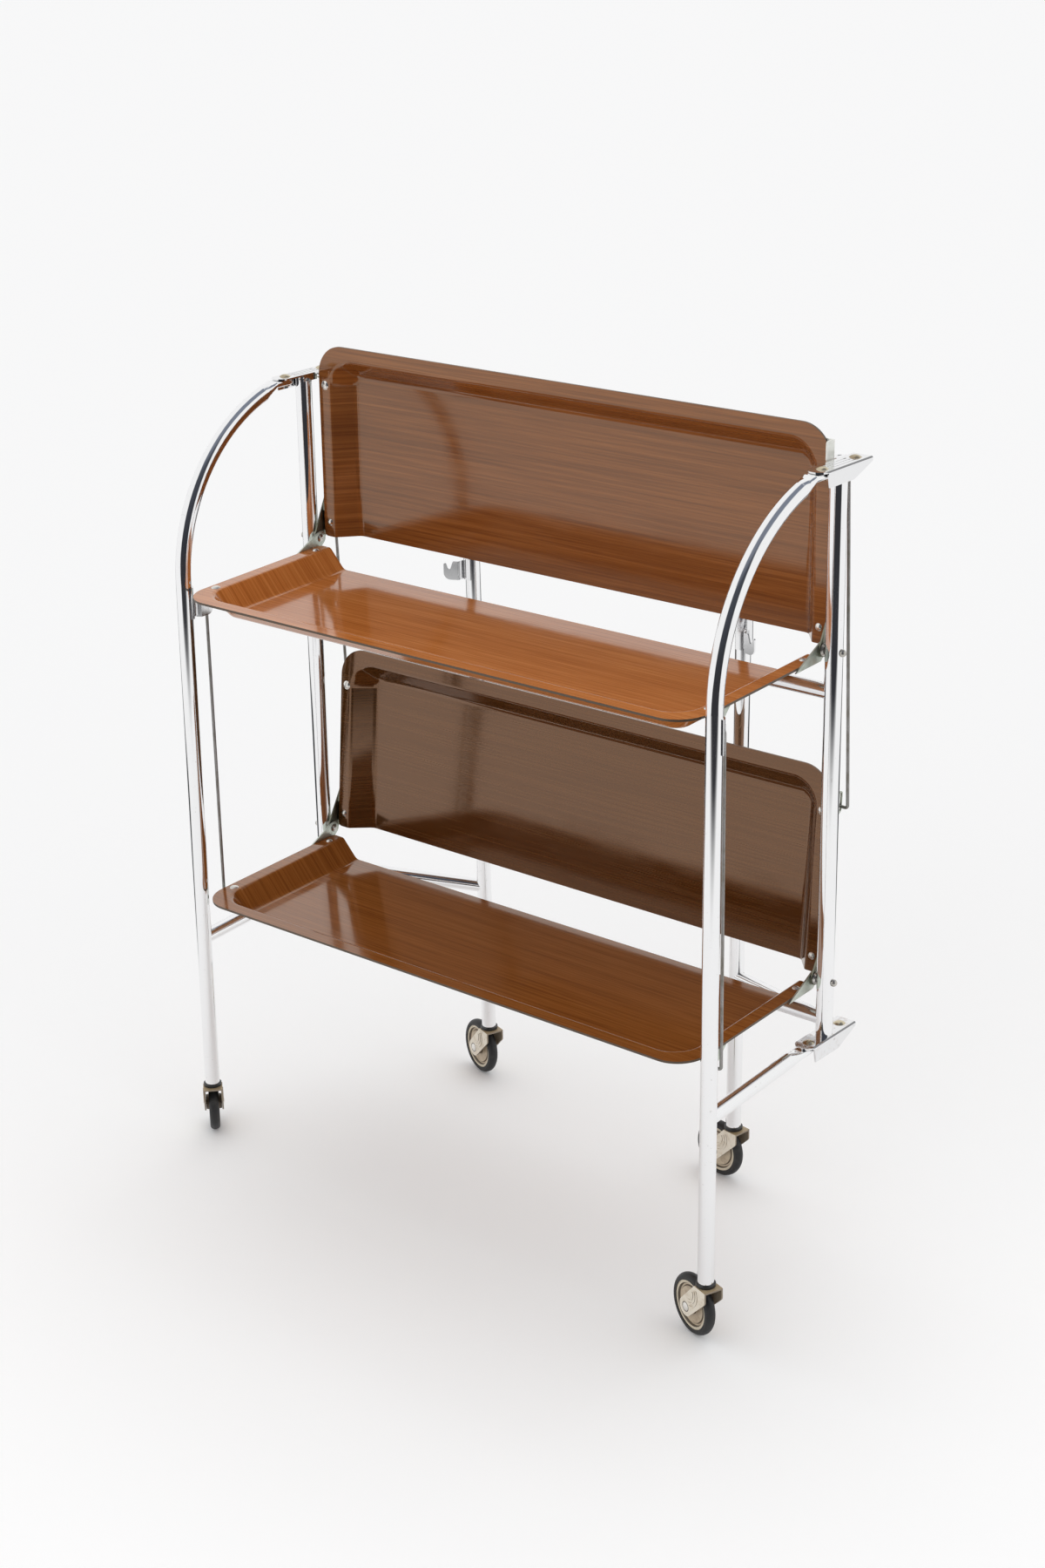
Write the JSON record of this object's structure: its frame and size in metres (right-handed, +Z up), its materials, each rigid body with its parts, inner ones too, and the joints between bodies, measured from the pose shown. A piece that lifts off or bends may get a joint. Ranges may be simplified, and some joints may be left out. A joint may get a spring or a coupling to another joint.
{
  "type": "folding tea trolley",
  "caption": "Folding two-tier serving trolley on swivel casters: hinged wood-look trays beside a tubular centre frame, with arched swing legs, hooked straps and connecting rods.",
  "frame": {"origin": "on the floor, under the middle of the centre frame", "axes": "+X along the trays towards the right-hand post, +Y to the rear leaves, +Z up"},
  "size_m": [0.6706, 0.3074, 0.788],
  "materials": {
    "chrome_tube": "polished chrome on steel tube",
    "crossbar": "grey metallic paint on steel tube",
    "bracket": "polished chrome on pressed steel",
    "pivot_rivet": "nickelled brass, a little tarnished",
    "hinge_steel": "zinc plated, dulled",
    "hinge_pin": "plated, with dark rims",
    "teak_front_upper": "gloss teak laminate",
    "teak_front_lower": "gloss teak laminate",
    "teak_rear": "gloss teak laminate",
    "rivet": "bright nickel heads",
    "rod": "dark bright-drawn wire",
    "hook": "zinc plated, dark where it slants",
    "latch": "pale spring steel",
    "ferrule": "black",
    "fork": "yellowish zinc plate",
    "hub": "cream",
    "tyre": "black rubber"
  },
  "bodies": {
    "frame": {"left_post": "chrome_tube", "right_post": "chrome_tube", "top_left_bracket": "bracket", "top_right_bracket": "bracket", "bottom_left_bracket": "bracket", "bottom_right_bracket": "bracket", "upper_crossbar": "crossbar", "lower_crossbar": "crossbar", "pivot_rivets": "pivot_rivet", "hinge_pins": "hinge_pin", "hinge_washers": "hinge_pin", "rear_upper_leaf": "teak_rear", "rear_upper_leaf_hinges": "hinge_steel", "rear_upper_leaf_rod_lugs": "hinge_steel", "rear_upper_leaf_rivets": "rivet", "rear_lower_leaf": "teak_rear", "rear_lower_leaf_hinges": "hinge_steel", "rear_lower_leaf_rod_lugs": "hinge_steel", "rear_lower_leaf_rivets": "rivet", "latch_tab": "latch", "rear_left_rod": "rod", "rear_right_rod": "rod", "front_left_leg": "chrome_tube", "front_left_rail": "chrome_tube", "front_left_hook": "hook", "front_left_ferrule": "ferrule", "front_right_leg": "chrome_tube", "front_right_rail": "chrome_tube", "front_right_hook": "hook", "front_right_ferrule": "ferrule"},
    "front_upper_leaf": {"front_upper_leaf": "teak_front_upper", "front_upper_leaf_hinges": "hinge_steel", "front_upper_leaf_rod_lugs": "hinge_steel", "front_upper_leaf_rivets": "rivet"},
    "front_lower_leaf": {"front_lower_leaf": "teak_front_lower", "front_lower_leaf_hinges": "hinge_steel", "front_lower_leaf_rod_lugs": "hinge_steel", "front_lower_leaf_rivets": "rivet"},
    "front_left_rod": {"front_left_rod": "rod"},
    "front_right_rod": {"front_right_rod": "rod"},
    "rear_left_gate": {"rear_left_leg": "chrome_tube", "rear_left_rail": "chrome_tube", "rear_left_hook": "hook", "rear_left_ferrule": "ferrule"},
    "rear_right_gate": {"rear_right_leg": "chrome_tube", "rear_right_rail": "chrome_tube", "rear_right_hook": "hook", "rear_right_ferrule": "ferrule"},
    "front_left_caster": {"front_left_caster_fork": "fork"},
    "front_left_wheel": {"front_left_wheel": "hub", "front_left_tyre": "tyre"},
    "front_right_caster": {"front_right_caster_fork": "fork"},
    "front_right_wheel": {"front_right_wheel": "hub", "front_right_tyre": "tyre"},
    "rear_left_caster": {"rear_left_caster_fork": "fork"},
    "rear_left_wheel": {"rear_left_wheel": "hub", "rear_left_tyre": "tyre"},
    "rear_right_caster": {"rear_right_caster_fork": "fork"},
    "rear_right_wheel": {"rear_right_wheel": "hub", "rear_right_tyre": "tyre"}
  },
  "joints": [
    {"name": "front_upper_leaf_fold", "type": "hinge", "parent": "frame", "child": "front_upper_leaf", "pos_m": [0, 0, 0.595], "axis": [-1, 0, 0], "range_deg": [0, 92.2]},
    {"name": "front_lower_leaf_fold", "type": "hinge", "parent": "frame", "child": "front_lower_leaf", "pos_m": [0, 0, 0.285], "axis": [-1, 0, 0], "range_deg": [0, 92.2]},
    {"name": "front_left_rod_pivot", "type": "hinge", "parent": "front_upper_leaf", "child": "front_left_rod", "pos_m": [-0.3046, -0.15199, 0.56564], "axis": [-1, 0, 0], "range_deg": [-92.2, 0]},
    {"name": "front_right_rod_pivot", "type": "hinge", "parent": "front_upper_leaf", "child": "front_right_rod", "pos_m": [0.3046, -0.15199, 0.56564], "axis": [-1, 0, 0], "range_deg": [-92.2, 0]},
    {"name": "rear_left_leg_swing", "type": "hinge", "parent": "frame", "child": "rear_left_gate", "pos_m": [-0.31, 0.025, 0.2], "axis": [0, 0, 1], "range_deg": [-9.5, 64]},
    {"name": "rear_right_leg_swing", "type": "hinge", "parent": "frame", "child": "rear_right_gate", "pos_m": [0.31, 0.025, 0.2], "axis": [0, 0, 1], "range_deg": [-73, 0.5]},
    {"name": "front_left_caster_swivel", "type": "hinge", "parent": "frame", "child": "front_left_caster", "pos_m": [-0.31, -0.17948, 0.055], "axis": [0, 0, 1], "continuous": true},
    {"name": "front_left_wheel_roll", "type": "hinge", "parent": "front_left_caster", "child": "front_left_wheel", "pos_m": [-0.3228, -0.16754, 0.029], "axis": [-0.682, -0.7314, 0], "continuous": true},
    {"name": "front_right_caster_swivel", "type": "hinge", "parent": "frame", "child": "front_right_caster", "pos_m": [0.31, -0.17948, 0.055], "axis": [0, 0, 1], "continuous": true},
    {"name": "front_right_wheel_roll", "type": "hinge", "parent": "front_right_caster", "child": "front_right_wheel", "pos_m": [0.29356, -0.1735, 0.029], "axis": [-0.342, -0.9397, 0], "continuous": true},
    {"name": "rear_left_caster_swivel", "type": "hinge", "parent": "rear_left_gate", "child": "rear_left_caster", "pos_m": [-0.17115, 0.09272, 0.055], "axis": [0, 0, 1], "continuous": true},
    {"name": "rear_left_wheel_roll", "type": "hinge", "parent": "rear_left_caster", "child": "rear_left_wheel", "pos_m": [-0.1876, 0.09871, 0.029], "axis": [-0.342, -0.9397, 0], "continuous": true},
    {"name": "rear_right_caster_swivel", "type": "hinge", "parent": "rear_right_gate", "child": "rear_right_caster", "pos_m": [0.16227, 0.07017, 0.055], "axis": [0, 0, 1], "continuous": true},
    {"name": "rear_right_wheel_roll", "type": "hinge", "parent": "rear_right_caster", "child": "rear_right_wheel", "pos_m": [0.14499, 0.0729, 0.029], "axis": [-0.1564, -0.9877, 0], "continuous": true}
  ],
  "couplings": [
    {"joint": "front_lower_leaf_fold", "follows": "front_upper_leaf_fold", "ratio": 1},
    {"joint": "front_left_rod_pivot", "follows": "front_upper_leaf_fold", "ratio": -1},
    {"joint": "front_right_rod_pivot", "follows": "front_upper_leaf_fold", "ratio": -1}
  ]
}
